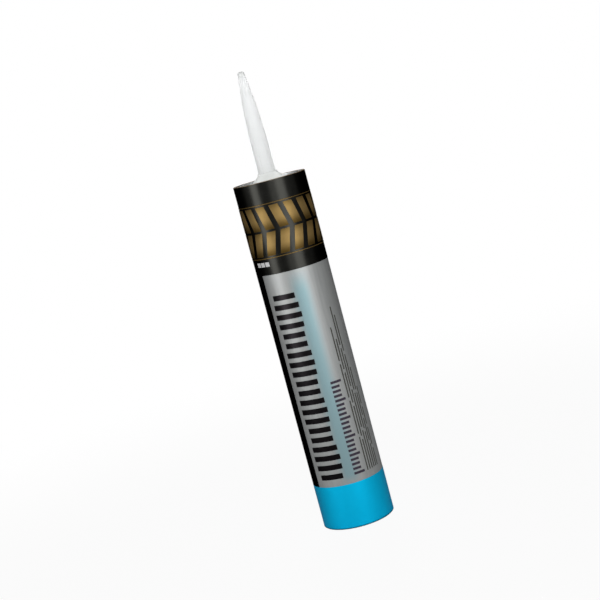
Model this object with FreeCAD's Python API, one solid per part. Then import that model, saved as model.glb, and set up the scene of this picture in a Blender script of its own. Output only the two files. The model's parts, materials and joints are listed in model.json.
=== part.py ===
import FreeCAD, Part
import math
import os

# A large sealant cartridge that stands on its open rear end, with its long moulded nozzle upwards.
# Millimetres, +Z along the tube towards the nozzle. The origin is the centre of the tube's rear end.
# The front of the label faces -Y, and label angles are counted from there towards +X.

# Wound tube, from the bore outwards
tube_length = 310.0
bore_diameter = 60.5
liner_thickness = 0.1
board_thickness = 1.2
label_thickness = 0.1
ink_thickness = 0.1
ink_clearance = 0.07
bond_line = 0.02
trim_back = 0.3

# Small bevel on the moulded edges that slide or are pressed in
edge_bevel = 0.5

# Moulded cap that closes the front of the tube
cap_recess = 5.0
cap_floor = 1.8
cap_wall = 1.8
skirt_length = 11.0
skirt_wall = 1.6
skirt_clearance = 0.15
bead_count = 3
bead_height = 0.1
bead_width = 1.4
bead_pitch = 2.8
shoulder_radius = 19.0
foot_above_rim = 4.0
foot_radius = 8.8
foot_height = 1.6

# Nozzle, moulded in one with the cap
barrel_base_radius = 7.4
barrel_top_radius = 7.2
barrel_height = 34.0
cone_knee_radius = 5.7
cone_knee_height = 27.0
tip_radius = 2.7
tip_height = 26.8
tip_rounding = 1.8
tip_plug = 4.0
nozzle_wall = 1.3
rib_count = 6
rib_width = 1.7
rib_height = 0.5
rib_run_out = 3.0

# Foil disc across the foot of the nozzle
seal_thickness = 0.12
seal_land = 2.0
seal_margin = 0.5

# Plunger
rear_recess = 7.0
plunger_height = 16.0
plunger_wall = 1.6
plunger_face = 2.0
lip_clearance = 0.05
lip_depth = 0.9
lip_taper = 1.4
front_lip_height = 1.6
rear_ring_height = 2.0
boss_base_radius = 14.5
boss_top_radius = 9.5
boss_height = 4.0
stiffener_count = 6
stiffener_thickness = 1.2
stiffener_height = 6.0
hub_radius = 7.0
hub_wall = 1.4

# Filling
filling_gap = 0.1

# Fields of the label
black_band_height = 78.0
cyan_band_top = 39.5
stripe_centre_angle = -90.0
stripe_width = 36.0
small_print_margin = 6.5

# Gold blocks on the black band
gold_margin = 16.0
gold_row_height = 20.0
gold_row_gap = 2.0
gold_block_count = 16
gold_block_width = 8.0
gold_block_slant = 5.0
gold_rule_width = 0.7
gold_rule_gap = 1.4

# Bars on the silver field
bar_count = 20
bar_thickness = 4.7
bar_longest = 25.0
bar_shortest = 19.5
bar_centre_angle = -26.8
bar_swells = 4
bars_top_margin = 18.5

# Pale strip beside the bars
glow_angle = -2.9
glow_width = 6.8
glow_margin = 1.0
glow_top_margin = 5.5

# Graduated row of ticks
tick_count = 21
tick_pitch = 4.1
tick_thickness = 2.2
tick_long = 10.0
tick_short = 7.5
ticks_per_long_one = 4
tick_angle = 10.3

# Fine lines along the tube
line_lengths = (129.0, 118.0, 146.0, 138.0, 90.0, 72.0)
line_width = 1.2
line_pitch = 2.7
line_angle = 33.5
line_pieces = 4
line_break = 3.0

# Small pale dashes under the gold rows
dash_count = 3
dash_length = 4.2
dash_height = 3.8
dash_gap = 1.0
dash_angle = -61.5
dash_margin = 7.4

# Radii that follow from the wound layers
bore_radius = bore_diameter / 2
liner_outer = bore_radius + liner_thickness
board_inner = liner_outer + bond_line
board_outer = board_inner + board_thickness
label_inner = board_outer + bond_line
label_outer = label_inner + label_thickness
ink_inner = label_outer + ink_clearance
ink_outer = ink_inner + ink_thickness
over_inner = ink_outer + ink_clearance
over_outer = over_inner + ink_thickness
FIRST_INK = (ink_inner, ink_outer)
SECOND_INK = (over_inner, over_outer)

# Heights that follow from the tube, the cap and the plunger
layer_top = tube_length - trim_back
floor_top = tube_length - cap_recess
floor_under = floor_top - cap_floor
skirt_bottom = floor_under - skirt_length
foot_bottom = tube_length + foot_above_rim
foot_top = foot_bottom + foot_height
barrel_top = foot_top + barrel_height
cone_knee = barrel_top + cone_knee_height
nozzle_tip = cone_knee + tip_height
seal_seat = foot_bottom - seal_land
seal_under = seal_seat - bond_line - seal_thickness
plunger_top = rear_recess + plunger_height

# Heights of the print, which follow from the edges of its fields
black_band_bottom = layer_top - black_band_height
small_print_bottom = cyan_band_top + small_print_margin
gold_rows_bottom = black_band_bottom + gold_margin
dash_bottom = black_band_bottom + dash_margin
bars_top = black_band_bottom - bars_top_margin
glow_top = black_band_bottom - glow_top_margin

# Radii that follow from the bore
skirt_outer = bore_radius - skirt_clearance
skirt_inner = skirt_outer - skirt_wall
lip_radius = bore_radius - lip_clearance
plunger_body_radius = lip_radius - lip_depth
cup_radius = plunger_body_radius - plunger_wall

CENTRE = FreeCAD.Vector(0, 0, 0)
TUBE_AXIS = FreeCAD.Vector(0, 0, 1)
FRONT = -90.0
SAME_POINT = 1e-6


def in_section(corner):
    """The place of a section's corner, drawn in the plane of the tube's axis and +X."""
    return FreeCAD.Vector(corner[0], 0, corner[1])


def rounded_outline(corners):
    """A closed wire through corners (radius, height) or, rounded, (radius, height, rounding)."""
    count = len(corners)
    edges = []
    leaves = []
    meets = []
    for i, corner in enumerate(corners):
        here = in_section(corner)
        back = in_section(corners[i - 1]) - here
        ahead = in_section(corners[(i + 1) % count]) - here
        turn = math.pi - back.getAngle(ahead)
        room = 0.49 * min(back.Length, ahead.Length)
        rounding = corner[2] if len(corner) > 2 else 0.0
        rounding = min(rounding, room / math.tan(turn / 2))
        reach = rounding * math.tan(turn / 2)
        back.normalize()
        ahead.normalize()
        meets.append(here + back * reach)
        leaves.append(here + ahead * reach)
        if reach > SAME_POINT:
            inward = back + ahead
            inward.normalize()
            middle = here + inward * (rounding / math.cos(turn / 2) - rounding)
            edges.append(Part.Arc(meets[i], middle, leaves[i]).toShape())
    for i in range(count):
        following = meets[(i + 1) % count]
        if (following - leaves[i]).Length > SAME_POINT:
            edges.append(Part.makeLine(leaves[i], following))
    return Part.Wire(Part.__sortEdges__(edges))


def turned(corners, degrees=360.0):
    """A solid turned about the tube's axis from a section's corners."""
    solid = Part.Face(rounded_outline(corners)).revolve(CENTRE, TUBE_AXIS, degrees)
    if solid.Volume < 0:
        solid.reverse()
    return solid


def ring(inner, outer, bottom, top):
    """A plain round layer."""
    return turned([(inner, bottom), (outer, bottom), (outer, top), (inner, top)])


def spun(shape, degrees):
    """A copy of a shape, turned about the tube's axis."""
    copy = shape.copy()
    copy.rotate(CENTRE, TUBE_AXIS, degrees)
    return copy


def spun_all_round(shape, count):
    """Copies of a shape, evenly spaced about the tube's axis."""
    return [spun(shape, 360.0 * i / count) for i in range(count)]


def arc_degrees(length):
    """The angle that a length along the printed surface takes up."""
    return math.degrees(length / label_outer)


def ink_patch(angle, width, bottom, top, layer=FIRST_INK):
    """A rectangle of ink that starts at a label angle and runs on by a width along the surface."""
    inner, outer = layer
    section = [(inner, bottom), (outer, bottom), (outer, top), (inner, top)]
    return spun(turned(section, arc_degrees(width)), FRONT + angle)


def ink_slant(width, slant, bottom, top, layer):
    """A leaning block of ink at the front of the label, cut out of the ink by a straight prism."""
    across = width + abs(slant)
    stock = ink_patch(-arc_degrees(across), 2 * across, bottom, top, layer)
    foot_left = -(width + slant) / 2
    head_left = foot_left + slant
    before = -2 * layer[1]
    outline = [
        FreeCAD.Vector(foot_left, before, bottom),
        FreeCAD.Vector(foot_left + width, before, bottom),
        FreeCAD.Vector(head_left + width, before, top),
        FreeCAD.Vector(head_left, before, top),
    ]
    prism = Part.Face(Part.makePolygon(outline + outline[:1])).extrude(FreeCAD.Vector(0, -before, 0))
    return stock.common(prism).Solids[0]


def shoulder_inside(height):
    """The radius of the hollow under the cap's shoulder, one wall inside the shoulder's slope."""
    lean = (shoulder_radius - foot_radius) / (foot_bottom - floor_top)
    return shoulder_radius - lean * (height - floor_top) - cap_wall * math.hypot(1, lean)


def make_fibre_tube():
    return ring(board_inner, board_outer, 0, tube_length)


def make_foil_liner():
    return ring(bore_radius, liner_outer, trim_back, layer_top)


def make_label_sheet():
    return ring(label_inner, label_outer, trim_back, layer_top)


def make_black_print():
    """The top band, and below it the stripe down the side, in one field."""
    band = ring(ink_inner, ink_outer, black_band_bottom, layer_top)
    angle = stripe_centre_angle - arc_degrees(stripe_width) / 2
    stripe = ink_patch(angle, stripe_width, cyan_band_top + bond_line, black_band_bottom)
    return band.fuse(stripe).removeSplitter()


def make_cyan_print():
    return ring(ink_inner, ink_outer, trim_back, cyan_band_top)


def make_gold_print():
    """Two rows of leaning blocks that meet in chevrons, between two thin rules, all round the band."""
    upper_row = gold_rows_bottom + gold_row_height + gold_row_gap
    rows_top = upper_row + gold_row_height
    pieces = []
    for bottom, slant in ((gold_rows_bottom, gold_block_slant), (upper_row, -gold_block_slant)):
        block = ink_slant(gold_block_width, slant, bottom, bottom + gold_row_height, SECOND_INK)
        pieces += spun_all_round(block, gold_block_count)
    for bottom in (gold_rows_bottom - gold_rule_gap - gold_rule_width, rows_top + gold_rule_gap):
        pieces.append(ring(over_inner, over_outer, bottom, bottom + gold_rule_width))
    return Part.makeCompound(pieces)


def make_bar_print():
    """A row of bars whose lengths swell and shrink along the tube, centred on one line."""
    pitch = (bars_top - small_print_bottom - bar_thickness) / (bar_count - 1)
    bars = []
    for i in range(bar_count):
        swell = abs(math.sin(math.pi * bar_swells * (i + 0.5) / bar_count))
        width = bar_shortest + (bar_longest - bar_shortest) * swell
        bottom = small_print_bottom + i * pitch
        bars.append(ink_patch(bar_centre_angle - arc_degrees(width) / 2, width, bottom, bottom + bar_thickness))
    return Part.makeCompound(bars)


def make_glow_print():
    return ink_patch(glow_angle, glow_width, cyan_band_top + glow_margin, glow_top)


def make_tick_print():
    """A graduated row of small ticks, with every fourth one long."""
    ticks = []
    for i in range(tick_count):
        width = tick_short if i % ticks_per_long_one else tick_long
        bottom = small_print_bottom + i * tick_pitch
        ticks.append(ink_patch(tick_angle, width, bottom, bottom + tick_thickness))
    return Part.makeCompound(ticks)


def make_line_print():
    """Fine lines side by side along the tube, each broken into pieces."""
    pieces = []
    for i, length in enumerate(line_lengths):
        angle = line_angle + arc_degrees(i * line_pitch)
        step = (length + line_break) / line_pieces
        for j in range(line_pieces):
            bottom = small_print_bottom + j * step
            pieces.append(ink_patch(angle, line_width, bottom, bottom + step - line_break))
    return Part.makeCompound(pieces)


def make_white_print():
    """Small pale dashes on the black band."""
    dashes = []
    for i in range(dash_count):
        angle = dash_angle + arc_degrees(i * (dash_length + dash_gap))
        dashes.append(ink_patch(angle, dash_length, dash_bottom, dash_bottom + dash_height, SECOND_INK))
    return Part.makeCompound(dashes)


def make_nozzle_rib():
    """One long rib on the nozzle's barrel, which stands on the foot ring and runs out at the top."""
    buried = barrel_top_radius - nozzle_wall / 2
    side = [
        FreeCAD.Vector(buried, -rib_width / 2, foot_top - foot_height / 2),
        FreeCAD.Vector(barrel_base_radius + rib_height, -rib_width / 2, foot_top - foot_height / 2),
        FreeCAD.Vector(barrel_top_radius + rib_height, -rib_width / 2, barrel_top - rib_run_out),
        FreeCAD.Vector(buried, -rib_width / 2, barrel_top),
    ]
    return Part.Face(Part.makePolygon(side + side[:1])).extrude(FreeCAD.Vector(0, rib_width, 0))


def make_nozzle_cap():
    """The skirt, the recessed floor, the hollow shoulder and the long closed nozzle, in one moulding."""
    plug_under = nozzle_tip - tip_plug
    bore_at_tip = tip_radius + (cone_knee_radius - tip_radius) * tip_plug / tip_height - nozzle_wall
    body = turned([
        (skirt_outer - edge_bevel, skirt_bottom),
        (skirt_outer, skirt_bottom + 2 * edge_bevel),
        (skirt_outer, floor_top - edge_bevel),
        (skirt_outer - edge_bevel, floor_top),
        (shoulder_radius, floor_top, 1.5),
        (foot_radius, foot_bottom, 0.6),
        (foot_radius, foot_top, 0.5),
        (barrel_base_radius, foot_top, 0.4),
        (barrel_top_radius, barrel_top, 60),
        (cone_knee_radius, cone_knee, 120),
        (tip_radius, nozzle_tip, tip_rounding),
        (0, nozzle_tip),
        (0, plug_under),
        (bore_at_tip, plug_under),
        (cone_knee_radius - nozzle_wall, cone_knee, 120),
        (barrel_top_radius - nozzle_wall, barrel_top, 60),
        (barrel_base_radius - nozzle_wall, seal_seat),
        (shoulder_inside(seal_seat), seal_seat),
        (shoulder_inside(floor_under), floor_under),
        (skirt_inner, floor_under),
        (skirt_inner, skirt_bottom),
    ])
    additions = spun_all_round(make_nozzle_rib(), rib_count)
    for i in range(bead_count):
        middle = skirt_bottom + (i + 1) * bead_pitch
        additions.append(turned([
            (skirt_outer - bead_height, middle - bead_width / 2),
            (skirt_outer + bead_height, middle),
            (skirt_outer - bead_height, middle + bead_width / 2),
        ]))
    return body.fuse(additions).removeSplitter()


def make_nozzle_seal():
    """The foil disc, bonded under the ledge at the foot of the nozzle."""
    radius = shoulder_inside(seal_seat) - seal_margin
    return turned([(0, seal_under), (radius, seal_under), (radius, seal_seat - bond_line), (0, seal_seat - bond_line)])


def boss_outside(height):
    """The radius of the plunger's raised middle at a height above its face."""
    return boss_base_radius - (boss_base_radius - boss_top_radius) * height / boss_height


def make_plunger():
    """A moulded cup, open to the rear, with a sealing lip, a guide ring and stiffeners inside."""
    inside_top = boss_height - plunger_face
    across = plunger_face * math.hypot(1, (boss_base_radius - boss_top_radius) / boss_height)
    envelope = turned([
        (0, rear_recess),
        (lip_radius - edge_bevel, rear_recess),
        (lip_radius, rear_recess + edge_bevel),
        (lip_radius, rear_recess + rear_ring_height),
        (plunger_body_radius, rear_recess + rear_ring_height + lip_taper),
        (plunger_body_radius, plunger_top - front_lip_height - lip_taper),
        (lip_radius, plunger_top - front_lip_height),
        (lip_radius, plunger_top - edge_bevel),
        (lip_radius - edge_bevel, plunger_top),
        (boss_base_radius, plunger_top),
        (boss_top_radius, plunger_top + boss_height, 1.0),
        (0, plunger_top + boss_height),
    ])
    hollow = turned([
        (0, rear_recess),
        (cup_radius, rear_recess),
        (cup_radius, plunger_top - plunger_face),
        (boss_outside(-plunger_face) - across, plunger_top - plunger_face),
        (boss_outside(inside_top) - across, plunger_top + inside_top),
        (0, plunger_top + inside_top),
    ])
    stiffener_bottom = plunger_top - plunger_face - stiffener_height
    reach_up = plunger_top + boss_height - stiffener_bottom
    plate = Part.makeBox(
        bore_radius, stiffener_thickness, reach_up,
        FreeCAD.Vector(hub_radius - hub_wall / 2, -stiffener_thickness / 2, stiffener_bottom))
    frame = spun_all_round(plate, stiffener_count)
    hub = ring(hub_radius - hub_wall, hub_radius, stiffener_bottom, stiffener_bottom + reach_up)
    inner_frame = hub.fuse(frame).common(hollow)
    return envelope.cut(hollow).fuse(inner_frame).removeSplitter()


def make_sealant():
    """The filling between the plunger and the cap, as far as the foil disc."""
    wall = bore_radius - filling_gap
    top = seal_under - filling_gap
    under_floor = floor_under - filling_gap
    under_skirt = skirt_bottom - filling_gap
    on_plunger = plunger_top + filling_gap
    return turned([
        (0, on_plunger + boss_height),
        (boss_top_radius + filling_gap, on_plunger + boss_height, 1.0),
        (boss_base_radius + filling_gap, on_plunger),
        (wall, on_plunger),
        (wall, under_skirt),
        (skirt_inner - filling_gap, under_skirt),
        (skirt_inner - filling_gap, under_floor),
        (shoulder_inside(under_floor) - filling_gap, under_floor),
        (shoulder_inside(top) - filling_gap, top),
        (0, top),
    ])


NODES = {
    "fibre_tube": make_fibre_tube,
    "foil_liner": make_foil_liner,
    "label_sheet": make_label_sheet,
    "black_print": make_black_print,
    "cyan_print": make_cyan_print,
    "gold_print": make_gold_print,
    "bar_print": make_bar_print,
    "glow_print": make_glow_print,
    "tick_print": make_tick_print,
    "line_print": make_line_print,
    "white_print": make_white_print,
    "nozzle_cap": make_nozzle_cap,
    "nozzle_seal": make_nozzle_seal,
    "plunger": make_plunger,
    "sealant": make_sealant,
}

os.makedirs("parts", exist_ok=True)
for name, make in NODES.items():
    shape = make()
    shape.exportStep("parts/" + name + ".step")
    print(name, "solids", len(shape.Solids), "volume", round(shape.Volume, 2), "valid", shape.isValid())
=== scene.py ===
import json
import math

import bmesh
import bpy
from mathutils import Matrix, Vector


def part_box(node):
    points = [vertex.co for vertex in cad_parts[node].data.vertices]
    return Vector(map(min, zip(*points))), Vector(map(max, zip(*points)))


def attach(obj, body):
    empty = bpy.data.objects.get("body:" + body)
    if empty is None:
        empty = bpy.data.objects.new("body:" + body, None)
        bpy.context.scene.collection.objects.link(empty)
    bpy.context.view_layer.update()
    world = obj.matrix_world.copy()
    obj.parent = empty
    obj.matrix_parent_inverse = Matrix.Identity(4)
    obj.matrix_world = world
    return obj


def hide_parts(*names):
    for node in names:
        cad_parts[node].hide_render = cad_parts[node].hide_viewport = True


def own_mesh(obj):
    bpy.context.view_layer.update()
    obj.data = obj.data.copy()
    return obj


# A large sealant cartridge that stands on its open rear end, with its long closed nozzle upwards.
# Metres, in the frame of the CAD model: +Z along the tube, the front of the label towards -Y.
# Angles on the label are in degrees, from its front towards +X.

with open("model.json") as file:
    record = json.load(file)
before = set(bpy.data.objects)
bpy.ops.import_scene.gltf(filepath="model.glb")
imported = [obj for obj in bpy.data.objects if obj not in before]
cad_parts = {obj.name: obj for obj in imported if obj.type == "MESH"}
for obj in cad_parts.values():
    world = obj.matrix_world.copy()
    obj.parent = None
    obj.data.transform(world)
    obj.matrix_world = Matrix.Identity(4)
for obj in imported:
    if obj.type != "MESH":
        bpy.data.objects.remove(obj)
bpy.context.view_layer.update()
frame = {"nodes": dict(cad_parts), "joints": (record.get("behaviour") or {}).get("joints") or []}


def turned_size(node):
    """Outer radius, bottom and top of a CAD node that is turned about the tube's axis."""
    low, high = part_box(node)
    return high.x, low.z, high.z


mm = 0.001
FRONT = -90.0
SAME_POINT = 0.001 * mm

# Wound tube
board_outer, rear_end, front_rim = turned_size("fibre_tube")
liner_outer, liner_bottom, liner_top = turned_size("foil_liner")
label_outer, label_bottom, label_top = turned_size("label_sheet")
ink_outer, cyan_bottom, cyan_top = turned_size("cyan_print")
gold_outer, gold_bottom, gold_top = turned_size("gold_print")
bond_line = 0.02 * mm
ink_clearance = 0.07 * mm
liner_thickness = 0.1 * mm
board_inner = liner_outer + bond_line
bore_radius = liner_outer - liner_thickness
label_inner = board_outer + bond_line
ink_inner = label_outer + ink_clearance
over_inner = ink_outer + ink_clearance
FIRST_INK = (ink_inner, ink_outer)
SECOND_INK = (over_inner, gold_outer)
cut_edge = 0.12 * mm
board_ply = 0.3 * mm
board_winding = 95.0 * mm
foil_winding = 70.0 * mm

# Lap of the label down the back of the tube
lap_angle = 180.0
lap_width = 7.0 * mm
lap_height = 0.08 * mm

# Fields of the label
black_band_height = 78.0 * mm
black_band_bottom = label_top - black_band_height
stripe_centre_angle = -90.0
stripe_width = 36.0 * mm
small_print_gap = 6.5 * mm
small_print_bottom = cyan_top + small_print_gap
# Height of a thin darker line along the bottom edge of the cyan field
dark_bottom_line = 1.6 * mm

# Gold blocks on the black band
gold_row_height = 20.0 * mm
gold_row_gap = 2.0 * mm
gold_block_count = 16
gold_block_width = 8.0 * mm
gold_block_slant = 5.0 * mm
gold_rule_width = 0.7 * mm
gold_rule_gap = 1.4 * mm
gold_rows_bottom = gold_bottom + gold_rule_width + gold_rule_gap

# Bars on the silver field
bar_count = 20
bar_thickness = 4.7 * mm
bar_longest = 25.0 * mm
bar_shortest = 19.5 * mm
bar_centre_angle = -26.8
bar_swells = 4
bars_top = black_band_bottom - 18.5 * mm

# Pale strip beside the bars, with how far its light reaches to both sides and where its ends fade
glow_angle = -2.9
glow_width = 6.8 * mm
glow_bottom = cyan_top + 1.0 * mm
glow_top = black_band_bottom - 5.5 * mm
glow_core = glow_width / 4
glow_left_reach = 1.6 * glow_width
glow_right_reach = 1.7 * glow_width
glow_bottom_fade = (glow_bottom - 3.0 * mm, glow_bottom + 8.0 * mm)
glow_top_fade = (glow_top - 15.0 * mm, glow_top + 10.0 * mm)

# Graduated row of ticks
tick_count = 21
tick_pitch = 4.1 * mm
tick_thickness = 2.2 * mm
tick_long = 10.0 * mm
tick_short = 7.5 * mm
ticks_per_long_one = 4
tick_angle = 10.3

# Fine lines along the tube
line_lengths = (129.0 * mm, 118.0 * mm, 146.0 * mm, 138.0 * mm, 90.0 * mm, 72.0 * mm)
line_width = 1.2 * mm
line_pitch = 2.7 * mm
line_angle = 33.5
line_pieces = 4
line_break = 3.0 * mm

# Small pale dashes under the gold rows
dash_count = 3
dash_length = 4.2 * mm
dash_height = 3.8 * mm
dash_gap = 1.0 * mm
dash_angle = -61.5
dash_bottom = black_band_bottom + 7.4 * mm

# Moulded cap and nozzle
cap_recess = 5.0 * mm
cap_floor = 1.8 * mm
cap_wall = 1.8 * mm
skirt_outer = bore_radius - 0.15 * mm
skirt_inner = skirt_outer - 1.6 * mm
shoulder_radius = 19.0 * mm
foot_radius = 8.8 * mm
foot_bottom = front_rim + 4.0 * mm
foot_top = foot_bottom + 1.6 * mm
barrel_base_radius = 7.4 * mm
barrel_top_radius = 7.2 * mm
barrel_top = foot_top + 34.0 * mm
cone_knee_radius = 5.7 * mm
cone_knee = barrel_top + 27.0 * mm
tip_radius = 2.7 * mm
nozzle_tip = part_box("nozzle_cap")[1].z
tip_plug = 4.0 * mm
bore_end = nozzle_tip - tip_plug
nozzle_wall = 1.3 * mm
tip_wall = 0.7 * mm
seal_seat = foot_bottom - 2.0 * mm
floor_top = front_rim - cap_recess
floor_under = floor_top - cap_floor
skirt_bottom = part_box("nozzle_cap")[0].z
bead_count = 3
bead_pitch = 2.8 * mm
bead_height = 0.1 * mm
bead_width = 1.4 * mm
rib_count = 6
rib_width = 1.7 * mm
rib_height = 0.5 * mm
rib_run_out = 3.0 * mm
rib_tail = 1.5 * mm
rib_overlap = 0.5 * mm

# Roundings of the cap and nozzle: how far along both edges of its corner each one starts
tip_rounding = 1.5 * mm
knee_rounding = 6.0 * mm
barrel_rounding = 2.5 * mm
barrel_fillet = 0.4 * mm
foot_rounding = 0.5 * mm
shoulder_fillet = 1.2 * mm
skirt_rounding = 0.5 * mm
skirt_lead_in = 0.6 * mm
floor_fillet = 1.5 * mm
hollow_rounding = 1.0 * mm
bore_end_fillet = 0.4 * mm
bead_rounding = bead_width / 6

# Plunger
lip_radius, plunger_bottom, plunger_boss_top = turned_size("plunger")
boss_height = 4.0 * mm
plunger_top = plunger_boss_top - boss_height
plunger_body_radius = lip_radius - 0.9 * mm
plunger_wall = 1.6 * mm
plunger_face = 2.0 * mm
front_lip_height = 1.6 * mm
rear_ring_height = 2.0 * mm
lip_taper = 1.4 * mm
boss_base_radius = 14.5 * mm
boss_top_radius = 9.5 * mm
stiffener_count = 6
stiffener_thickness = 1.2 * mm
stiffener_height = 6.0 * mm
hub_radius = 7.0 * mm
hub_wall = 1.4 * mm
inside_overlap = 1.0 * mm
plunger_travel = frame["joints"][0]["range_m"][1]

# Roundings of the plunger
boss_rounding = 0.8 * mm
boss_inside_rounding = 0.6 * mm
lip_rounding = 0.4 * mm
lip_heel = 0.2 * mm
body_fillet = 0.4 * mm
cup_rounding = 0.3 * mm
cup_fillet = 1.0 * mm
stiffener_rounding = 0.25 * mm

# Filling
paste_gap = 0.1 * mm
pocket_radius = boss_base_radius + paste_gap
ring_top = plunger_top + plunger_travel + 2 * paste_gap
core_top = plunger_boss_top + plunger_travel + 2 * paste_gap

# How finely round surfaces are divided, and the angle up to which an edge is shaded smooth
steps_round = 288
moulding_steps = 192
filling_steps = 96
degrees_per_step = 1.5
rounding_steps = 5
stiffener_edge_steps = 2
smooth_below = 35.0


# Modelling with sections that are spun about the tube's axis

def take(*pieces):
    """Selects pieces and nothing else, with the first one active."""
    bpy.ops.object.select_all(action="DESELECT")
    for piece in pieces:
        piece.select_set(True)
    bpy.context.view_layer.objects.active = pieces[0]


def select_where(piece, test):
    """In edit mode, selects the vertices of a piece whose place passes a test, and nothing else."""
    mesh = bmesh.from_edit_mesh(piece.data)
    for vertex in mesh.verts:
        vertex.select = test(vertex.co)
    mesh.select_flush_mode()
    bmesh.update_edit_mesh(piece.data)


def draw_section(name, corners, closed):
    """A wire in the plane of the tube's axis and +X, in edit mode, through corners (radius, height)
    or (radius, height, rounding), where rounding is how far along both edges it starts."""
    bpy.ops.object.select_all(action="DESELECT")
    bpy.ops.mesh.primitive_plane_add(size=1 * mm)
    piece = bpy.context.object
    piece.name = name
    piece.data.name = name
    bpy.ops.object.mode_set(mode="EDIT")
    bpy.ops.mesh.merge(type="CENTER")
    bpy.ops.transform.translate(value=(corners[0][0], 0, corners[0][1]))
    route = corners + corners[:1] if closed else corners
    for here, ahead in zip(route, route[1:]):
        step = (ahead[0] - here[0], 0, ahead[1] - here[1])
        bpy.ops.mesh.extrude_region_move(TRANSFORM_OT_translate={"value": step})
    bpy.ops.mesh.select_all(action="SELECT")
    bpy.ops.mesh.remove_doubles(threshold=SAME_POINT)
    for radius, height, *rounding in corners:
        if any(rounding):
            place = Vector((radius, 0, height))
            select_where(piece, lambda spot: (spot - place).length < SAME_POINT)
            bpy.ops.mesh.bevel(
                offset=rounding[0], segments=rounding_steps, profile=0.5, affect="VERTICES")
    return piece


def spin_section(sweep=360.0, steps=steps_round):
    """In edit mode, spins the drawn section about the tube's axis and closes its ends or poles."""
    bpy.ops.mesh.select_all(action="SELECT")
    bpy.ops.mesh.spin(steps=steps, angle=-math.radians(sweep), center=(0, 0, 0), axis=(0, 0, 1))
    bpy.ops.mesh.select_all(action="SELECT")
    bpy.ops.mesh.remove_doubles(threshold=SAME_POINT)
    bpy.ops.mesh.select_all(action="DESELECT")
    bpy.ops.mesh.select_non_manifold(extend=False)
    bpy.ops.mesh.fill_holes(sides=0)
    bpy.ops.mesh.select_all(action="SELECT")
    bpy.ops.mesh.normals_make_consistent(inside=False)
    bpy.ops.object.mode_set(mode="OBJECT")


def turned(name, corners, closed=True, steps=steps_round):
    """A solid turned all round from a section's corners."""
    piece = draw_section(name, corners, closed)
    spin_section(steps=steps)
    return piece


def ring(name, inner, outer, bottom, top, edge=0.0):
    """A plain round layer. Where edge is given, its outer edges are rounded by it."""
    return turned(name, [(inner, bottom), (outer, bottom, edge), (outer, top, edge), (inner, top)])


def arc_degrees(length):
    """The angle that a length along the printed surface takes up."""
    return math.degrees(length / label_outer)


def ink_patch(name, angle, width, bottom, top, layer=FIRST_INK):
    """A rectangle of ink that starts at a label angle and runs on by a width along the surface."""
    inner, outer = layer
    sweep = arc_degrees(width)
    piece = draw_section(name, [(inner, bottom), (outer, bottom), (outer, top), (inner, top)], True)
    spin_section(sweep, max(2, math.ceil(sweep / degrees_per_step)))
    piece.data.transform(Matrix.Rotation(math.radians(FRONT + angle), 4, "Z"))
    return piece


def joined(name, pieces):
    """One piece made of several, each still its own closed shell."""
    take(*pieces)
    bpy.ops.object.join()
    whole = bpy.context.object
    whole.name = name
    whole.data.name = name
    return whole


def copied_round(piece, count):
    """In place of a piece, count copies of it evenly spaced about the tube's axis."""
    take(piece)
    bpy.ops.object.mode_set(mode="EDIT")
    bpy.ops.mesh.select_all(action="SELECT")
    last = 360.0 * (count - 1) / count
    bpy.ops.mesh.spin(
        steps=count - 1, dupli=True, angle=-math.radians(last), center=(0, 0, 0), axis=(0, 0, 1))
    bpy.ops.object.mode_set(mode="OBJECT")
    return piece


def smoothed(piece):
    """Round surfaces shaded smooth, and sharper edges kept."""
    take(piece)
    bpy.ops.object.shade_smooth_by_angle(angle=math.radians(smooth_below))
    return piece


def fused(body, extra):
    """A body with a second piece fused to it, which is used up."""
    take(body)
    union = body.modifiers.new("union", "BOOLEAN")
    union.operation = "UNION"
    union.solver = "EXACT"
    union.object = extra
    bpy.ops.object.modifier_apply(modifier=union.name)
    bpy.data.objects.remove(extra)
    return body


# Wound tube

def make_paper_tube():
    return ring("paper_tube", board_inner, board_outer, rear_end, front_rim, cut_edge)


def make_foil_lining():
    return ring("foil_lining", bore_radius, liner_outer, liner_bottom, liner_top)


def lap_strip(name, outer, bottom, top):
    """The raised edge where a wrapped layer laps over itself at the back."""
    start = lap_angle - arc_degrees(lap_width)
    return ink_patch(name, start, lap_width, bottom, top, (outer - lap_height, outer + lap_height))


def make_silver_label():
    sheet = ring("silver_label", label_inner, label_outer, label_bottom, label_top)
    return joined("silver_label", [sheet, lap_strip("lap", label_outer, cyan_top, black_band_bottom)])


# Print

def make_black_field():
    """The top band, and below it the stripe down the side."""
    inner, outer = FIRST_INK
    band = ring("black_field", inner, outer, black_band_bottom, label_top)
    start = stripe_centre_angle - arc_degrees(stripe_width) / 2
    stripe = ink_patch("stripe", start, stripe_width, cyan_top + bond_line, black_band_bottom)
    return joined("black_field", [band, stripe, lap_strip("lap", outer, black_band_bottom, label_top)])


def make_cyan_field():
    inner, outer = FIRST_INK
    band = ring("cyan_field", inner, outer, cyan_bottom, cyan_top)
    return joined("cyan_field", [band, lap_strip("lap", outer, cyan_bottom, cyan_top)])


def make_gold_block(slant, bottom):
    """A leaning block of gold at the front of the label, cut out of a wider patch by two planes."""
    top = bottom + gold_row_height
    across = gold_block_width + abs(slant)
    block = ink_patch("gold_block", -arc_degrees(across), 2 * across, bottom, top, SECOND_INK)
    bpy.ops.object.mode_set(mode="EDIT")
    for side in (-1, 1):
        bpy.ops.mesh.select_all(action="SELECT")
        middle = (side * gold_block_width / 2, -label_outer, bottom + gold_row_height / 2)
        outward = (side * gold_row_height, 0, -side * slant)
        bpy.ops.mesh.bisect(
            plane_co=middle, plane_no=outward, use_fill=True, clear_outer=True, threshold=SAME_POINT)
    bpy.ops.object.mode_set(mode="OBJECT")
    return block


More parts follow.
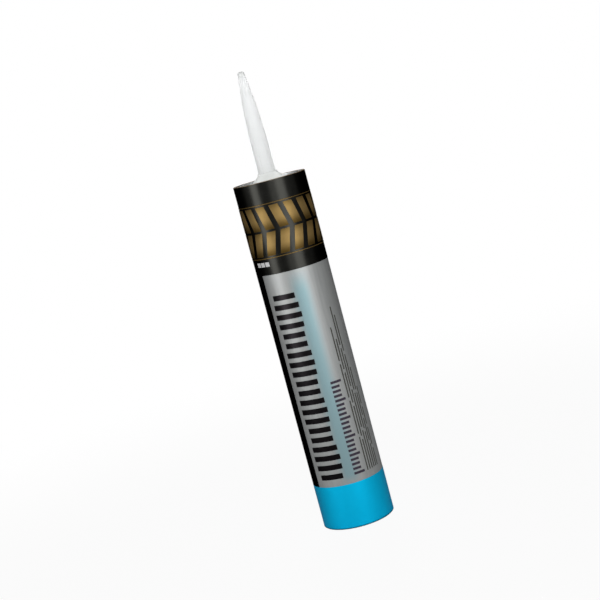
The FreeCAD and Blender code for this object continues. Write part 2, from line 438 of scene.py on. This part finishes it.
def make_gold_rows():
    """Two rows of leaning blocks that meet in chevrons, between two thin rules."""
    inner, outer = SECOND_INK
    upper_row = gold_rows_bottom + gold_row_height + gold_row_gap
    pieces = []
    for bottom, slant in ((gold_rows_bottom, gold_block_slant), (upper_row, -gold_block_slant)):
        pieces.append(copied_round(make_gold_block(slant, bottom), gold_block_count))
    for bottom in (gold_bottom, gold_top - gold_rule_width):
        pieces.append(ring("rule", inner, outer, bottom, bottom + gold_rule_width))
    return joined("gold_rows", pieces)


def make_level_bars():
    """A row of bars whose lengths swell and shrink along the tube."""
    pitch = (bars_top - small_print_bottom - bar_thickness) / (bar_count - 1)
    bars = []
    for i in range(bar_count):
        swell = abs(math.sin(math.pi * bar_swells * (i + 0.5) / bar_count))
        width = bar_shortest + (bar_longest - bar_shortest) * swell
        bottom = small_print_bottom + i * pitch
        angle = bar_centre_angle - arc_degrees(width) / 2
        bars.append(ink_patch("bar", angle, width, bottom, bottom + bar_thickness))
    return joined("level_bars", bars)


def make_pale_strip():
    return ink_patch("pale_strip", glow_angle, glow_width, glow_bottom, glow_top)


def make_tick_row():
    """A graduated row of small ticks, with every fourth one long."""
    ticks = []
    for i in range(tick_count):
        width = tick_short if i % ticks_per_long_one else tick_long
        bottom = small_print_bottom + i * tick_pitch
        ticks.append(ink_patch("tick", tick_angle, width, bottom, bottom + tick_thickness))
    return joined("tick_row", ticks)


def make_fine_lines():
    """Fine lines side by side along the tube, each broken into pieces."""
    pieces = []
    for i, length in enumerate(line_lengths):
        angle = line_angle + arc_degrees(i * line_pitch)
        step = (length + line_break) / line_pieces
        for j in range(line_pieces):
            bottom = small_print_bottom + j * step
            pieces.append(ink_patch("line", angle, line_width, bottom, bottom + step - line_break))
    return joined("fine_lines", pieces)


def make_pale_dashes():
    dashes = []
    for i in range(dash_count):
        angle = dash_angle + arc_degrees(i * (dash_length + dash_gap))
        top = dash_bottom + dash_height
        dashes.append(ink_patch("dash", angle, dash_length, dash_bottom, top, SECOND_INK))
    return joined("pale_dashes", dashes)


# Moulded cap and nozzle

def shoulder_inside(height):
    """The radius of the hollow under the cap's shoulder, one wall inside the shoulder's slope."""
    lean = (shoulder_radius - foot_radius) / (foot_bottom - floor_top)
    return shoulder_radius - lean * (height - floor_top) - cap_wall * math.hypot(1, lean)


def make_nozzle_rib():
    """One long rib on the nozzle's barrel, which stands on the foot ring and runs out at the top."""
    root = barrel_top_radius - nozzle_wall / 2
    corners = [
        (root, foot_top - rib_overlap),
        (barrel_base_radius + rib_height, foot_top - rib_overlap),
        (barrel_top_radius + rib_height, barrel_top - rib_run_out, barrel_rounding),
        (root, barrel_top + rib_tail),
    ]
    rib = draw_section("rib", corners, True)
    bpy.ops.mesh.select_all(action="SELECT")
    bpy.ops.mesh.edge_face_add()
    bpy.ops.transform.translate(value=(0, -rib_width / 2, 0))
    bpy.ops.mesh.extrude_region_move(TRANSFORM_OT_translate={"value": (0, rib_width, 0)})
    bpy.ops.mesh.select_all(action="SELECT")
    bpy.ops.mesh.normals_make_consistent(inside=False)
    bpy.ops.object.mode_set(mode="OBJECT")
    return rib


def make_nozzle():
    """The skirt, the recessed floor, the hollow shoulder and the long closed nozzle, in one moulding."""
    section = [
        (0, nozzle_tip),
        (tip_radius, nozzle_tip, tip_rounding),
        (cone_knee_radius, cone_knee, knee_rounding),
        (barrel_top_radius, barrel_top, barrel_rounding),
        (barrel_base_radius, foot_top, barrel_fillet),
        (foot_radius, foot_top, foot_rounding),
        (foot_radius, foot_bottom, foot_rounding),
        (shoulder_radius, floor_top, shoulder_fillet),
        (skirt_outer, floor_top, skirt_rounding),
    ]
    for i in reversed(range(bead_count)):
        middle = skirt_bottom + (i + 1) * bead_pitch
        section += [
            (skirt_outer, middle + bead_width / 2),
            (skirt_outer + bead_height, middle, bead_rounding),
            (skirt_outer, middle - bead_width / 2),
        ]
    section += [
        (skirt_outer, skirt_bottom, skirt_lead_in),
        (skirt_inner, skirt_bottom, skirt_rounding),
        (skirt_inner, floor_under, floor_fillet),
        (shoulder_inside(floor_under), floor_under, hollow_rounding),
        (shoulder_inside(seal_seat), seal_seat),
        (barrel_base_radius - nozzle_wall, seal_seat),
        (barrel_top_radius - nozzle_wall, barrel_top, barrel_rounding),
        (cone_knee_radius - nozzle_wall, cone_knee, knee_rounding),
        (tip_radius - tip_wall, bore_end, bore_end_fillet),
        (0, bore_end),
    ]
    body = turned("nozzle", section, closed=False, steps=moulding_steps)
    return fused(body, copied_round(make_nozzle_rib(), rib_count))


# Plunger, open to the rear

def make_stiffener(cup_radius, bottom):
    """One upright web from the hub to the cup's wall, let into both and into the face above."""
    inner = hub_radius - hub_wall / 2
    outer = cup_radius + plunger_wall / 2
    size = Vector((outer - inner, stiffener_thickness, stiffener_height + inside_overlap))
    corner = Vector((inner, -stiffener_thickness / 2, bottom))
    bpy.ops.object.select_all(action="DESELECT")
    bpy.ops.mesh.primitive_cube_add(size=1)
    web = bpy.context.object
    web.name = "web"
    bpy.ops.object.mode_set(mode="EDIT")
    bpy.ops.transform.resize(value=size)
    bpy.ops.transform.translate(value=corner + size / 2)
    select_where(web, lambda spot: spot.z < bottom + SAME_POINT)
    bpy.ops.mesh.bevel(offset=stiffener_rounding, segments=stiffener_edge_steps, affect="EDGES")
    bpy.ops.object.mode_set(mode="OBJECT")
    return web


def make_plunger():
    """A moulded cup with a sealing lip, a guide ring, and a hub and stiffeners inside."""
    cup_radius = plunger_body_radius - plunger_wall
    slope = (boss_base_radius - boss_top_radius) / boss_height
    across = plunger_face * math.hypot(1, slope)
    inner_base = boss_base_radius + slope * plunger_face - across
    inner_top = boss_base_radius - slope * (boss_height - plunger_face) - across
    cup = turned("plunger_cup", [
        (0, plunger_boss_top),
        (boss_top_radius, plunger_boss_top, boss_rounding),
        (boss_base_radius, plunger_top),
        (lip_radius, plunger_top, lip_rounding),
        (lip_radius, plunger_top - front_lip_height, lip_heel),
        (plunger_body_radius, plunger_top - front_lip_height - lip_taper, body_fillet),
        (plunger_body_radius, plunger_bottom + rear_ring_height + lip_taper, body_fillet),
        (lip_radius, plunger_bottom + rear_ring_height, lip_heel),
        (lip_radius, plunger_bottom, lip_rounding),
        (cup_radius, plunger_bottom, cup_rounding),
        (cup_radius, plunger_top - plunger_face, cup_fillet),
        (inner_base, plunger_top - plunger_face, boss_inside_rounding),
        (inner_top, plunger_boss_top - plunger_face, boss_inside_rounding),
        (0, plunger_boss_top - plunger_face),
    ], closed=False, steps=moulding_steps)
    low = plunger_top - plunger_face - stiffener_height
    high = plunger_top + inside_overlap
    cup = fused(cup, ring("hub", hub_radius - hub_wall, hub_radius, low, high, cup_rounding))
    return fused(cup, copied_round(make_stiffener(cup_radius, low), stiffener_count))


# Filling between the plunger and the cap: a ring over the plunger's face and a core over its boss, both
# reaching as far up as the plunger travels, and what is inside the cap, with a pocket for the boss.

def make_filling_ring():
    return ring("filling_ring", pocket_radius, bore_radius - paste_gap, plunger_top + paste_gap, ring_top)


def make_filling_core():
    corners = [
        (0, plunger_boss_top + paste_gap),
        (boss_base_radius, plunger_boss_top + paste_gap),
        (boss_base_radius, core_top),
        (0, core_top),
    ]
    return turned("filling_core", corners, closed=False, steps=filling_steps)


def make_filling_in_cap():
    outer = skirt_inner - paste_gap
    under_floor = floor_under - paste_gap
    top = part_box("sealant")[1].z
    return turned("filling_in_cap", [
        (0, core_top + paste_gap),
        (pocket_radius, core_top + paste_gap),
        (pocket_radius, skirt_bottom),
        (outer, skirt_bottom),
        (outer, under_floor, floor_fillet),
        (shoulder_inside(under_floor) - paste_gap, under_floor, hollow_rounding),
        (shoulder_inside(top) - paste_gap, top),
        (0, top),
    ], closed=False, steps=filling_steps)


# Materials

def shade(red, green, blue):
    """A colour as nodes take it, from how it looks on a screen, 0 to 255."""
    def light(level):
        level = level / 255
        return level / 12.92 if level <= 0.04045 else ((level + 0.055) / 1.055) ** 2.4
    return (light(red), light(green), light(blue), 1.0)


class Field:
    """The output of a node. Arithmetic on it, where it is a number, adds Math nodes to its tree."""

    def __init__(self, nodes, socket):
        self.nodes = nodes
        self.socket = socket

    def __add__(self, other):
        return self.nodes.math("ADD", self, other)

    __radd__ = __add__

    def __sub__(self, other):
        return self.nodes.math("SUBTRACT", self, other)

    def __rsub__(self, other):
        return self.nodes.math("SUBTRACT", other, self)

    def __mul__(self, other):
        return self.nodes.math("MULTIPLY", self, other)

    __rmul__ = __mul__

    def __truediv__(self, other):
        return self.nodes.math("DIVIDE", self, other)

    def __rtruediv__(self, other):
        return self.nodes.math("DIVIDE", other, self)


class Nodes:
    """A tree of nodes, of a material or of the world, that more nodes are added to."""

    def __init__(self, tree):
        self.tree = tree

    def node(self, kind, settings=None, inputs=None, output=0):
        """One node: its settings are set first, then its sockets get values or links."""
        made = self.tree.nodes.new(kind)
        for name, value in (settings or {}).items():
            setattr(made, name, value)
        for socket, value in (inputs or {}).items():
            if isinstance(value, Field):
                self.tree.links.new(value.socket, made.inputs[socket])
            elif value is not None:
                made.inputs[socket].default_value = value
        return Field(self, made.outputs[output])

    def math(self, operation, first, second=None):
        return self.node("ShaderNodeMath", {"operation": operation}, {0: first, 1: second})

    def all_outputs(self, kind, inputs=None):
        """The outputs of one node, in a list that also takes their names."""
        return self.node(kind, inputs=inputs).socket.node.outputs

    def rays(self, *kinds):
        """1 for rays of the kinds that are named, and 0 for others."""
        path = self.all_outputs("ShaderNodeLightPath")
        return sum(Field(self, path["Is " + kind + " Ray"]) for kind in kinds)


class Finish(Nodes):
    """A material in the making, whose nodes end in one Principled surface."""

    def __init__(self, name, **constants):
        self.material = bpy.data.materials.new(name)
        self.material.use_nodes = True
        super().__init__(self.material.node_tree)
        self.surface = self.tree.nodes["Principled BSDF"]
        for socket, value in constants.items():
            self.surface.inputs[socket.replace("_", " ")].default_value = value

    def feed(self, socket, value):
        self.tree.links.new(value.socket, self.surface.inputs[socket])

    def place(self):
        """The point on the surface, in metres."""
        return self.node("ShaderNodeTexCoord", output="Object")

    def parts(self):
        """The three parts of the point on the surface, as numbers."""
        split = self.all_outputs("ShaderNodeSeparateXYZ", {0: self.place()})
        return [Field(self, socket) for socket in split]

    def height(self):
        return self.parts()[2]

    def from_axis(self):
        """How far from the tube's axis the point on the surface is."""
        across, back, height = self.parts()
        return self.math("SQRT", across * across + back * back)

    def label_angle(self):
        """Degrees round the tube from the label's front towards +X, from -180 to 180."""
        across, back, height = self.parts()
        return self.math("ARCTAN2", across, back * -1) * math.degrees(1)

    def from_seam(self, winding):
        """How far from the edge of a wound strip the point is, from 0 at the edge to 0.5."""
        return self.math("PINGPONG", self.label_angle() / 360 + self.height() / winding, 0.5)

    def stretched(self, point, scale):
        """A point with its three parts multiplied, to stretch a pattern."""
        return self.node("ShaderNodeVectorMath", {"operation": "MULTIPLY"}, {0: point, 1: scale})

    def noise(self, point, scale, detail=3.0, roughness=0.5):
        return self.node("ShaderNodeTexNoise", inputs={
            "Vector": point, "Scale": scale, "Detail": detail, "Roughness": roughness})

    def ramp(self, value, low, high, start=0.0, end=1.0):
        """A smooth step from start at low to end at high."""
        return self.node("ShaderNodeMapRange", {"interpolation_type": "SMOOTHSTEP"}, {
            "Value": value, "From Min": low, "From Max": high, "To Min": start, "To Max": end})

    def mixed(self, factor, first, second):
        """A colour between two others."""
        return self.node("ShaderNodeMix", {"data_type": "RGBA"}, {0: factor, 6: first, 7: second}, 2)

    def bump(self, height, strength, distance):
        normal = self.node("ShaderNodeBump", inputs={
            "Strength": strength, "Distance": distance, "Height": height})
        self.feed("Normal", normal)


def add_wound_relief(finish):
    """The faint slanting ridges of the wound board that show through a wrapped label."""
    ridge = finish.ramp(finish.from_seam(board_winding), 0.0, 0.06)
    grain = finish.noise(finish.place(), scale=900, detail=2.0)
    finish.bump(ridge * 0.6 + grain * 0.4, strength=0.25, distance=0.05 * mm)


def make_board():
    """Wound kraft board: its cut ends show the plies as rings, and fibres lie in its surface."""
    board = Finish("wound_board", Roughness=0.85, Specular_IOR_Level=0.25)
    ply = board.math("PINGPONG", board.from_axis() / board_ply, 0.5)
    fibres = board.noise(board.stretched(board.place(), (1, 1, 0.3)), scale=1400, detail=4.0, roughness=0.6)
    tone = board.ramp(ply * 0.7 + fibres * 0.6, 0.2, 0.9)
    board.feed("Base Color", board.mixed(tone, shade(112, 92, 66), shade(172, 150, 118)))
    board.bump(ply + fibres, strength=0.5, distance=0.08 * mm)
    return board


def make_foil():
    """Aluminium foil with its spiral seam and the small wrinkles of winding."""
    foil = Finish("lining_foil", Metallic=1.0, Roughness=0.32)
    seam = foil.ramp(foil.from_seam(foil_winding), 0.0, 0.02)
    wrinkles = foil.noise(foil.stretched(foil.place(), (1, 1, 3)), scale=160, detail=5.0, roughness=0.6)
    foil.feed("Base Color", foil.mixed(wrinkles, shade(176, 178, 180), shade(206, 208, 210)))
    foil.bump(seam + wrinkles, strength=0.6, distance=0.12 * mm)
    return foil


def make_silver(name):
    """Metallic silver print under varnish, with a pale cyan light that fades into it along a strip."""
    silver = Finish(name, Metallic=0.32, Specular_IOR_Level=0.1, Specular_Tint=shade(100, 100, 100))
    streaks = silver.noise(silver.stretched(silver.place(), (1, 1, 0.08)), scale=420)
    bare = silver.mixed(streaks, shade(140, 142, 142), shade(156, 158, 157))
    angle = silver.label_angle()
    height = silver.height()
    middle = glow_angle + arc_degrees(glow_width / 2)
    core = arc_degrees(glow_core)
    light = silver.ramp(angle, middle - arc_degrees(glow_left_reach), middle - core)
    light = light * silver.ramp(angle, middle + core, middle + arc_degrees(glow_right_reach), 1.0, 0.0)
    light = light * silver.ramp(height, *glow_bottom_fade)
    light = light * silver.ramp(height, *glow_top_fade, 1.0, 0.0)
    silver.feed("Base Color", silver.mixed(light, bare, shade(122, 147, 152)))
    silver.feed("Roughness", streaks * 0.1 + 0.38)
    add_wound_relief(silver)
    return silver


def make_ink(name, colour, other_colour, roughness, metallic=0.0):
    """Varnished ink, with the slight unevenness of print between two near colours."""
    ink = Finish(name, Metallic=metallic, Specular_IOR_Level=0.1, Specular_Tint=shade(75, 75, 72))
    mottle = ink.noise(ink.place(), scale=220, detail=4.0, roughness=0.6)
    ink.feed("Base Color", ink.mixed(mottle, colour, other_colour))
    ink.feed("Roughness", mottle * 0.08 + (roughness - 0.04))
    add_wound_relief(ink)
    return ink


def make_cyan():
    """Cyan ink, darker in a thin line along the label's bottom edge."""
    cyan = Finish(
        "cyan_ink", Metallic=0.6, Roughness=0.45, Specular_IOR_Level=0.08, Specular_Tint=shade(10, 60, 80))
    mottle = cyan.noise(cyan.place(), scale=200, detail=4.0, roughness=0.6)
    field = cyan.mixed(mottle, shade(5, 178, 224), shade(14, 185, 230))
    bottom_darkening = cyan.ramp(cyan.height(), cyan_bottom, cyan_bottom + dark_bottom_line, 1.0, 0.0)
    cyan.feed("Base Color", cyan.mixed(bottom_darkening, field, shade(6, 92, 118)))
    add_wound_relief(cyan)
    return cyan


def make_gold():
    """Metallic gold ink, each row bright in the middle and shaded towards its edges."""
    gold = Finish(
        "gold_ink", Metallic=0.45, Roughness=0.4, Specular_IOR_Level=0.1, Specular_Tint=shade(70, 62, 44))
    rows = (gold.height() - gold_rows_bottom) / (gold_row_height + gold_row_gap)
    share = gold.math("FRACT", rows)
    brighter = gold.ramp(share, 0.0, 0.45)
    darker = gold.ramp(share, 0.6, 1.0, 1.0, 0.25)
    flecks = gold.noise(gold.place(), scale=700, detail=2.0)
    tone = brighter * darker * 0.85 + flecks * 0.15
    gold.feed("Base Color", gold.mixed(tone, shade(56, 42, 14), shade(124, 102, 62)))
    add_wound_relief(gold)
    return gold


def make_moulding(name, colour, other_colour, roughness, clearness, painted_zones=()):
    """Natural polyethylene: waxy, a little translucent, with a fine moulded grain.
    In each zone (from height, to height, zone colour) it turns into another colour, as painted light or
    shade."""
    plastic = Finish(
        name, Roughness=roughness, Transmission_Weight=clearness, IOR=1.2, Specular_IOR_Level=0.3)
    cloud = plastic.noise(plastic.place(), scale=60)
    tone = plastic.mixed(cloud, colour, other_colour)
    for start, end, painted_colour in painted_zones:
        tone = plastic.mixed(plastic.ramp(plastic.height(), start, end), tone, painted_colour)
    plastic.feed("Base Color", tone)
    plastic.feed("Roughness", cloud * 0.12 + (roughness - 0.06))
    grain = plastic.noise(plastic.place(), scale=1500, detail=2.0)
    plastic.bump(grain, strength=0.15, distance=0.03 * mm)
    return plastic


def make_paste():
    """The soft filling, slightly lumpy."""
    paste = Finish("sealant_paste", Roughness=0.5, Specular_IOR_Level=0.4)
    lumps = paste.noise(paste.place(), scale=90)
    paste.feed("Base Color", paste.mixed(lumps, shade(196, 196, 192), shade(210, 210, 206)))
    paste.bump(lumps, strength=0.3, distance=0.4 * mm)
    return paste


# The pieces: what makes each, its finish, the body that carries it, its slot and the nodes it stands for

silver = make_silver("silver_label")
pale_glow = make_silver("pale_glow")
black = make_ink("black_ink", shade(30, 30, 28), shade(36, 36, 34), roughness=0.26, metallic=1.0)
bar_black = make_ink("bar_ink", shade(22, 20, 22), shade(30, 28, 30), roughness=0.32, metallic=1.0)
grey = make_ink("grey_ink", shade(58, 53, 62), shade(68, 62, 72), roughness=0.4)
dark_grey = make_ink("dark_grey_ink", shade(66, 66, 62), shade(78, 78, 74), roughness=0.4)
pale = make_ink("pale_ink", shade(196, 196, 196), shade(210, 210, 210), roughness=0.4)
# Painted light: the cap's shoulder, floor and skirt made lighter than the nozzle. Painted shade: the solid
# tip made darker.
painted_light_shoulder = (foot_top + 2.0 * mm, foot_bottom, shade(250, 251, 250))
painted_shade_tip = (bore_end - 1.0 * mm, bore_end + 0.5 * mm, shade(213, 215, 214))
nozzle_plastic = make_moulding(
    "nozzle_plastic", shade(234, 235, 235), shade(239, 240, 240),
    roughness=0.45, clearness=0.7, painted_zones=(painted_light_shoulder, painted_shade_tip))
plunger_plastic = make_moulding(
    "plunger_plastic", shade(226, 228, 227), shade(234, 236, 235), roughness=0.5, clearness=0.2)
paste = make_paste()

PIECES = [
    (make_paper_tube, make_board(), "cartridge", "board", ["fibre_tube"]),
    (make_foil_lining, make_foil(), "cartridge", "foil", ["foil_liner"]),
    (make_silver_label, silver, "cartridge", "silver_label", ["label_sheet"]),
    (make_black_field, black, "cartridge", "black_ink", ["black_print"]),
    (make_cyan_field, make_cyan(), "cartridge", "cyan_ink", ["cyan_print"]),
    (make_gold_rows, make_gold(), "cartridge", "gold_ink", ["gold_print"]),
    (make_level_bars, bar_black, "cartridge", "bar_ink", ["bar_print"]),
    (make_pale_strip, pale_glow, "cartridge", "pale_cyan_ink", ["glow_print"]),
    (make_tick_row, grey, "cartridge", "grey_ink", ["tick_print"]),
    (make_fine_lines, dark_grey, "cartridge", "dark_grey_ink", ["line_print"]),
    (make_pale_dashes, pale, "cartridge", "pale_ink", ["white_print"]),
    (make_nozzle, nozzle_plastic, "cartridge", "white_plastic", ["nozzle_cap"]),
    (make_plunger, plunger_plastic, "plunger", "plunger_plastic", ["plunger"]),
    (make_filling_ring, paste, "cartridge", "sealant", ["sealant"]),
    (make_filling_core, paste, "cartridge", "sealant", ["sealant"]),
    (make_filling_in_cap, paste, "cartridge", "sealant", ["sealant"]),
]

made = {}
for make, finish, body, slot, nodes in PIECES:
    piece = smoothed(make())
    piece.data.materials.clear()
    piece.data.materials.append(finish.material)
    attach(piece, body)
    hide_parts(*nodes)
    made[piece.name] = piece

seal = frame["nodes"]["nozzle_seal"]
seal.data.materials.clear()
seal.data.materials.append(bpy.data.materials["lining_foil"])

for name, top in (("filling_ring", ring_top), ("filling_core", core_top)):
    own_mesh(made[name])


# Floor, lamps and camera

floor_reach = 12.0
floor_cuts = 7
shadow_reach = 0.25
white_reach = 0.9
shadow_share = 0.06


def make_floor():
    """A white floor that keeps the shadow near the cartridge and fades into the white behind.
    It is clear from below and under the bore, and lets the lamp under it through, so that the
    rear end can be looked into."""
    bpy.ops.object.select_all(action="DESELECT")
    bpy.ops.mesh.primitive_plane_add(size=floor_reach)
    floor = bpy.context.object
    floor.name = "floor"
    bpy.ops.object.mode_set(mode="EDIT")
    bpy.ops.mesh.subdivide(number_cuts=floor_cuts)
    bpy.ops.object.mode_set(mode="OBJECT")
    paper = Finish("floor_paper", Base_Color=(0.5, 0.5, 0.5, 1.0), Roughness=0.9, Specular_IOR_Level=0.1)
    from_axis = paper.from_axis()
    white = paper.ramp(from_axis, shadow_reach, white_reach, 1.0 - shadow_share, 1.0)
    seen = paper.rays("Camera", "Transmission")
    lit = Field(paper, paper.surface.outputs["BSDF"])
    glow = paper.node("ShaderNodeEmission", inputs={"Color": (1, 1, 1, 1), "Strength": 1.0})
    from_above = paper.node("ShaderNodeMixShader", inputs={0: seen * white, 1: lit, 2: glow})
    below = paper.node("ShaderNodeNewGeometry", output="Backfacing")
    under_bore = paper.math("LESS_THAN", from_axis, bore_radius)
    clear = paper.node("ShaderNodeBsdfTransparent")
    surface = paper.node("ShaderNodeMixShader", inputs={0: below + under_bore, 1: from_above, 2: clear})
    output = paper.tree.nodes["Material Output"]
    paper.tree.links.new(surface.socket, output.inputs["Surface"])
    floor.data.materials.append(paper.material)
    floor.visible_shadow = False


def make_surroundings(ambient):
    """White where it is seen, mirrored or seen through the nozzle, and a low even light elsewhere."""
    world = bpy.data.worlds.new("surroundings")
    world.use_nodes = True
    bpy.context.scene.world = world
    sky = Nodes(world.node_tree)
    background = sky.tree.nodes["Background"]
    background.inputs["Color"].default_value = (1, 1, 1, 1)
    strength = sky.math("MAXIMUM", sky.rays("Camera", "Glossy", "Transmission"), ambient)
    sky.tree.links.new(strength.socket, background.inputs["Strength"])


def place_round(azimuth, distance, height):
    """A place at an azimuth from the label's front, a distance from the tube's axis."""
    turn = math.radians(FRONT + azimuth)
    return Vector((distance * math.cos(turn), distance * math.sin(turn), height))


def softbox(name, place, aim_height, width, tall, brightness, for_gloss=False):
    """A rectangular lamp aimed at the tube's axis, which either lights the surfaces or, for gloss,
    is only mirrored in them. Brightness is how bright its face looks, where 1 is the white of the
    floor. No lamp shines through the nozzle, which lets through only the white behind it."""
    bpy.ops.object.light_add(type="AREA", location=place)
    lamp = bpy.context.object
    lamp.name = name
    lamp.rotation_euler = (Vector((0, 0, aim_height)) - place).to_track_quat("-Z", "Y").to_euler()
    lamp.data.shape = "RECTANGLE"
    lamp.data.size = width
    lamp.data.size_y = tall
    lamp.data.energy = brightness * math.pi * width * tall
    lamp.visible_camera = False
    lamp.visible_glossy = for_gloss
    lamp.visible_diffuse = not for_gloss
    lamp.visible_transmission = False


def dark_panel(name, place, width, tall):
    """A dark card that only reflections see, which keeps one edge of the tube dark."""
    bpy.ops.object.select_all(action="DESELECT")
    bpy.ops.mesh.primitive_plane_add(size=1, location=place)
    panel = bpy.context.object
    panel.name = name
    panel.scale = (width, tall, 1)
    panel.rotation_euler = (Vector((0, 0, place.z)) - place).to_track_quat("Z", "Y").to_euler()
    for way in ("camera", "diffuse", "transmission", "shadow"):
        setattr(panel, "visible_" + way, False)
    card = Finish("dark_card", Base_Color=(0.02, 0.02, 0.02, 1.0), Roughness=0.9)
    panel.data.materials.append(card.material)


camera_place = Vector((-1.04, -1186.95, 362.55)) * mm
camera_aim = Vector((-1.04, 0.0, 201.14)) * mm
camera_roll = -14.952
camera_lens = 82.606
camera_film_width = 36.0
camera_nearest = 10.0 * mm


def make_camera():
    """The camera at the photograph's height, with the tilt that lets the tube lean in the picture."""
    bpy.ops.object.camera_add(location=camera_place)
    camera = bpy.context.object
    camera.name = "camera"
    looking = (camera_aim - camera_place).to_track_quat("-Z", "Y").to_matrix()
    camera.rotation_euler = (looking @ Matrix.Rotation(math.radians(camera_roll), 3, "Z")).to_euler()
    camera.data.lens = camera_lens
    camera.data.sensor_width = camera_film_width
    camera.data.clip_start = camera_nearest
    bpy.context.scene.camera = camera


# Tall strips close to the label, which give its gloss its bright bands
strip_distance = 0.5
strip_middle = 0.27
strip_tall = 0.36

# Square lamps further off, in front, behind and below, the last a small step forward of the axis
lamp_distance = 1.5
lamp_height = 0.8
lamp_side = 0.6
lamp_aim = 0.2
under_side = 0.3
under_step = 0.01

# Dark cards beyond both edges of the label
card_middle = 0.2
card_tall = 0.7

make_camera()
make_floor()
make_surroundings(ambient=0.18)
for name, azimuth, width, brightness in (
    ("left_strip", -54, 0.20, 6.5),
    ("right_strip", 27, 0.24, 6.0),
    ("front_strip", 2, 0.16, 2.0),
):
    place = place_round(azimuth, strip_distance, strip_middle)
    softbox(name, place, strip_middle, width, strip_tall, brightness, for_gloss=True)
for name, azimuth, brightness in (("key", 2, 18.5), ("back_light", 180, 12.0)):
    place = place_round(azimuth, lamp_distance, lamp_height)
    softbox(name, place, lamp_aim, lamp_side, lamp_side, brightness)
under_place = place_round(0, under_step, -lamp_distance)
softbox("under_light", under_place, rear_end, under_side, under_side, brightness=45.0)
for name, azimuth, width in (("left_card", -125, 0.6), ("right_card", 115, 0.7)):
    dark_panel(name, place_round(azimuth, strip_distance, card_middle), width, card_tall)

bpy.context.scene.view_settings.view_transform = "Standard"
